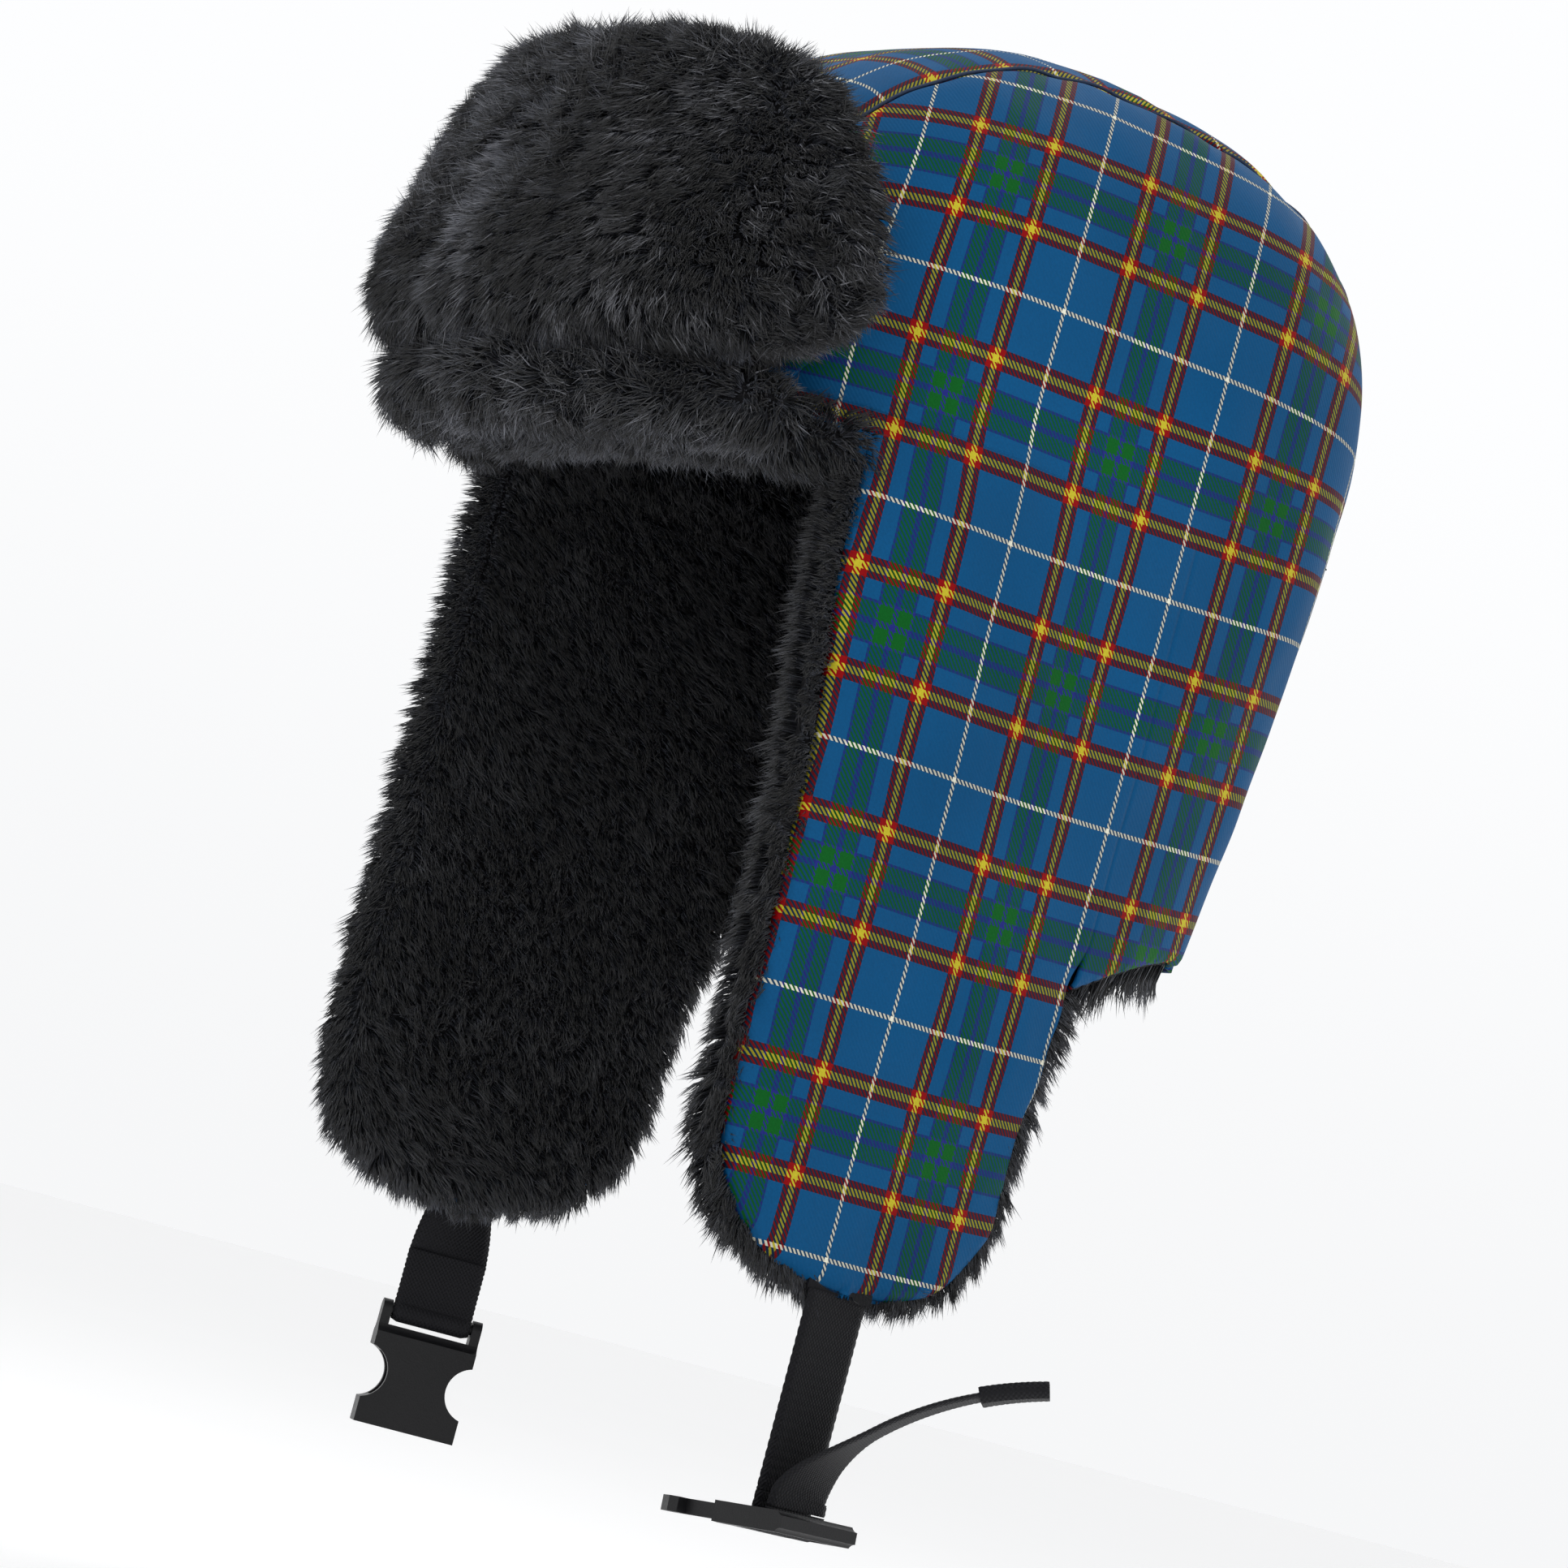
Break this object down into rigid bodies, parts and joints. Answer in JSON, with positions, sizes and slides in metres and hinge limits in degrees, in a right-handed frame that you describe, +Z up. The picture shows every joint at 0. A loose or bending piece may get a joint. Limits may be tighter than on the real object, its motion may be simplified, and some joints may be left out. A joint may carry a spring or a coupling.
{
  "type": "trapper hat",
  "caption": "Checked fabric trapper hat with fur-lined ear flaps, a fold-down fur brow flap and a buckled chin strap.",
  "frame": {"origin": "middle of the head opening, at the brow line", "axes": "+Z up along the head, -Y towards the front of the hat, +X towards the wearer's left"},
  "size_m": [0.2727, 0.2933, 0.451],
  "materials": {
    "check_fabric": "blue, green, yellow and red checked twill with a slight satin sheen",
    "check_fabric_bias": "the same checked twill, cut on the bias for the centre strip",
    "wadding": "white needled wadding, hidden between the layers",
    "lining": "black quilted lining inside the dome",
    "fur": "black faux fur, short soft pile with cool highlights",
    "webbing": "black woven webbing",
    "buckle_plastic": "black moulded acetal, satin"
  },
  "bodies": {
    "crown": {"crown_centre_strip": "check_fabric_bias", "crown_side_left": "check_fabric", "crown_side_right": "check_fabric", "nape_side_left": "check_fabric", "nape_side_right": "check_fabric", "crown_wadding": "wadding", "crown_dome_lining": "lining", "crown_fur_band": "fur", "nape_wadding": "wadding", "nape_fur_lining": "fur"},
    "brow_flap": {"brow_flap_shell": "check_fabric", "brow_flap_wadding": "wadding", "brow_flap_fur": "fur", "brow_fold_roll": "fur"},
    "ear_flap_left": {"ear_flap_left_shell": "check_fabric", "ear_flap_left_wadding": "wadding", "ear_flap_left_fur": "fur", "strap_left_anchor": "webbing"},
    "ear_flap_right": {"ear_flap_right_shell": "check_fabric", "ear_flap_right_wadding": "wadding", "ear_flap_right_fur": "fur", "strap_right_anchor": "webbing"},
    "strap_left": {"strap_left_webbing": "webbing"},
    "slider": {"strap_left_turn": "webbing"},
    "plug": {"plug_frame": "buckle_plastic", "plug_guide": "buckle_plastic"},
    "prong_front": {"plug_prong_front": "buckle_plastic"},
    "prong_rear": {"plug_prong_rear": "buckle_plastic"},
    "tail": {"strap_left_tail": "webbing", "strap_left_tail_hem": "webbing"},
    "strap_right": {"strap_right_webbing": "webbing", "strap_right_loop": "webbing"},
    "socket": {"socket_shell": "buckle_plastic"}
  },
  "joints": [
    {"name": "brow_fold", "type": "hinge", "parent": "crown", "child": "brow_flap", "pos_m": [0, -0.14, -0.004], "axis": [1, 0, 0], "range_deg": [0, 105]},
    {"name": "ear_fold_left", "type": "hinge", "parent": "crown", "child": "ear_flap_left", "pos_m": [0.106, -0.03, -0.011], "axis": [0, -1, 0], "range_deg": [0, 165]},
    {"name": "ear_fold_right", "type": "hinge", "parent": "crown", "child": "ear_flap_right", "pos_m": [-0.106, -0.03, -0.011], "axis": [0, 1, 0], "range_deg": [0, 165]},
    {"name": "strap_left_swing", "type": "hinge", "parent": "ear_flap_left", "child": "strap_left", "pos_m": [0.10376, -0.034, -0.2385], "axis": [-0.1736, 0.9848, 0], "range_deg": [-60, 15]},
    {"name": "strap_adjust", "type": "slide", "parent": "strap_left", "child": "slider", "axis": [0, 0, 1], "range_m": [0, 0.03], "deforming": ["strap_left_webbing"]},
    {"name": "plug_tilt", "type": "hinge", "parent": "slider", "child": "plug", "pos_m": [0.10632, -0.03355, -0.302], "axis": [-0.1736, 0.9848, 0], "range_deg": [-10, 30]},
    {"name": "prong_front_bend", "type": "hinge", "parent": "plug", "child": "prong_front", "pos_m": [0.09525, -0.04708, -0.30316], "axis": [-0.0858, -0.0151, 0.9962], "range_deg": [-6, 0], "stiffness_Nm_per_rad": 0.05},
    {"name": "prong_rear_bend", "type": "hinge", "parent": "plug", "child": "prong_rear", "pos_m": [0.09129, -0.02462, -0.30316], "axis": [-0.0858, -0.0151, 0.9962], "range_deg": [0, 6], "stiffness_Nm_per_rad": 0.05},
    {"name": "tail_swing", "type": "hinge", "parent": "slider", "child": "tail", "pos_m": [0.10888, -0.0331, -0.2979], "axis": [-0.1736, 0.9848, 0], "range_deg": [-12, 30]},
    {"name": "strap_right_swing", "type": "hinge", "parent": "ear_flap_right", "child": "strap_right", "pos_m": [-0.10299, -0.026, -0.2385], "axis": [0, -1, 0], "range_deg": [-60, 15]},
    {"name": "socket_tilt", "type": "hinge", "parent": "strap_right", "child": "socket", "pos_m": [-0.10299, -0.026, -0.274], "axis": [0.4384, 0.8988, 0], "range_deg": [-60, 60]}
  ],
  "couplings": [
    {"joint": "prong_rear_bend", "follows": "prong_front_bend", "ratio": -1}
  ]
}
